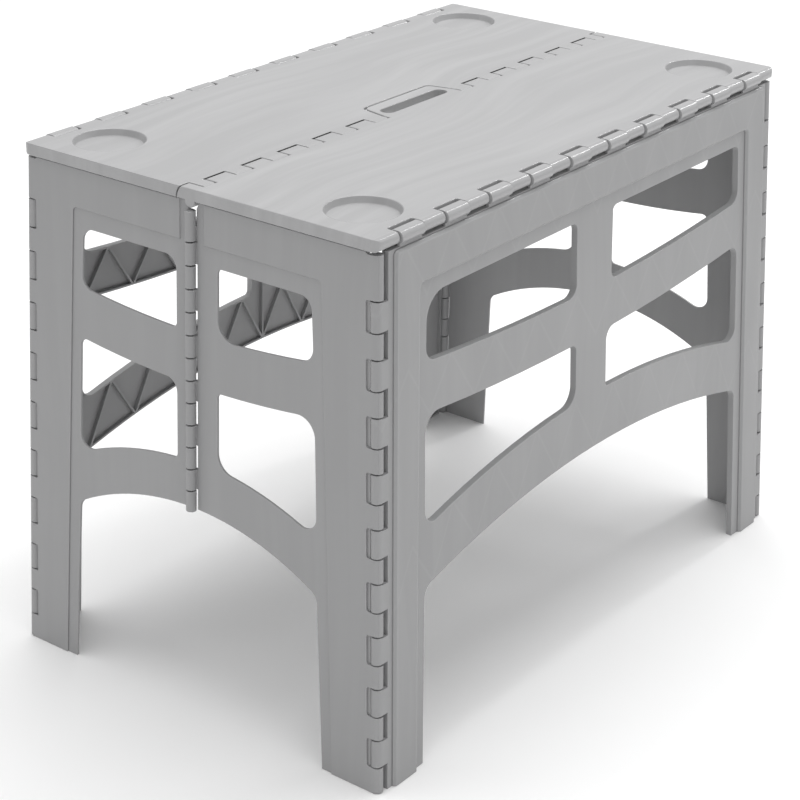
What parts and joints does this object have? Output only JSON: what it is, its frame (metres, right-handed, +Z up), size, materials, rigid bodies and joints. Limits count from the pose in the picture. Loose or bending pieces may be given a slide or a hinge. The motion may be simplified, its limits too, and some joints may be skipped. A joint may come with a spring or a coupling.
{
  "type": "folding camping table",
  "caption": "Low moulded-plastic folding table: hinged top with hand slot and cup recesses on splayed, windowed side and end panels that fold flat together.",
  "frame": {"origin": "on the floor, under the middle of the table", "axes": "+X along the table's long edge, +Y from the front long side to the rear one, +Z up"},
  "size_m": [0.7358, 0.4856, 0.55],
  "materials": {
    "moulded_plastic": "semi-matte grey, moulded",
    "hinge_steel": "plain drawn rod"
  },
  "bodies": {
    "front_side": {"side_front": "moulded_plastic", "edge_rod_front_left": "hinge_steel", "edge_rod_front_right": "hinge_steel", "corner_rod_left_front": "hinge_steel", "corner_rod_right_front": "hinge_steel"},
    "front_top": {"top_front": "moulded_plastic", "centre_rod_left": "hinge_steel", "centre_rod_right": "hinge_steel"},
    "left_front_end": {"end_left_front": "moulded_plastic"},
    "left_rear_end": {"end_left_rear": "moulded_plastic", "end_rod_left": "hinge_steel"},
    "rear_side": {"side_rear": "moulded_plastic", "edge_rod_rear_left": "hinge_steel", "edge_rod_rear_right": "hinge_steel", "corner_rod_left_rear": "hinge_steel", "corner_rod_right_rear": "hinge_steel"},
    "rear_top": {"top_rear": "moulded_plastic"},
    "right_front_end": {"end_right_front": "moulded_plastic", "end_rod_right": "hinge_steel"},
    "right_rear_end": {"end_right_rear": "moulded_plastic"}
  },
  "joints": [
    {"name": "front_edge_fold", "type": "hinge", "parent": "front_side", "child": "front_top", "pos_m": [0, -0.21224, 0.5448], "axis": [1, 0, 0], "range_deg": [0, 87.82]},
    {"name": "left_front_corner_fold", "type": "hinge", "parent": "front_side", "child": "left_front_end", "pos_m": [-0.36205, -0.23298, 0], "axis": [0.0436, 0.038, 0.9983], "range_deg": [-90.14, 0]},
    {"name": "left_end_fold", "type": "hinge", "parent": "left_front_end", "child": "left_rear_end", "pos_m": [-0.36936, 0, 0], "axis": [0.0436, 0, 0.999], "range_deg": [0, 180.05]},
    {"name": "left_rear_corner_fold", "type": "hinge", "parent": "left_rear_end", "child": "rear_side", "pos_m": [-0.36205, 0.23298, 0], "axis": [0.0436, -0.038, 0.9983], "range_deg": [-90.14, 0]},
    {"name": "rear_edge_fold", "type": "hinge", "parent": "rear_side", "child": "rear_top", "pos_m": [0, 0.21224, 0.5448], "axis": [1, 0, 0], "range_deg": [-87.87, 0]},
    {"name": "right_front_corner_fold", "type": "hinge", "parent": "front_side", "child": "right_front_end", "pos_m": [0.36205, -0.23298, 0], "axis": [-0.0436, 0.038, 0.9983], "range_deg": [0, 90.14]},
    {"name": "right_rear_corner_fold", "type": "hinge", "parent": "rear_side", "child": "right_rear_end", "pos_m": [0.36205, 0.23298, 0], "axis": [-0.0436, -0.038, 0.9983], "range_deg": [-90.14, 0]}
  ],
  "couplings": [
    {"joint": "left_front_corner_fold", "follows": "front_edge_fold", "ratio": -1.0259},
    {"joint": "left_end_fold", "follows": "front_edge_fold", "ratio": 2.0496},
    {"joint": "left_rear_corner_fold", "follows": "front_edge_fold", "ratio": -1.0259},
    {"joint": "rear_edge_fold", "follows": "front_edge_fold", "ratio": -1},
    {"joint": "right_front_corner_fold", "follows": "front_edge_fold", "ratio": 1.0259},
    {"joint": "right_rear_corner_fold", "follows": "front_edge_fold", "ratio": -1.0259}
  ]
}
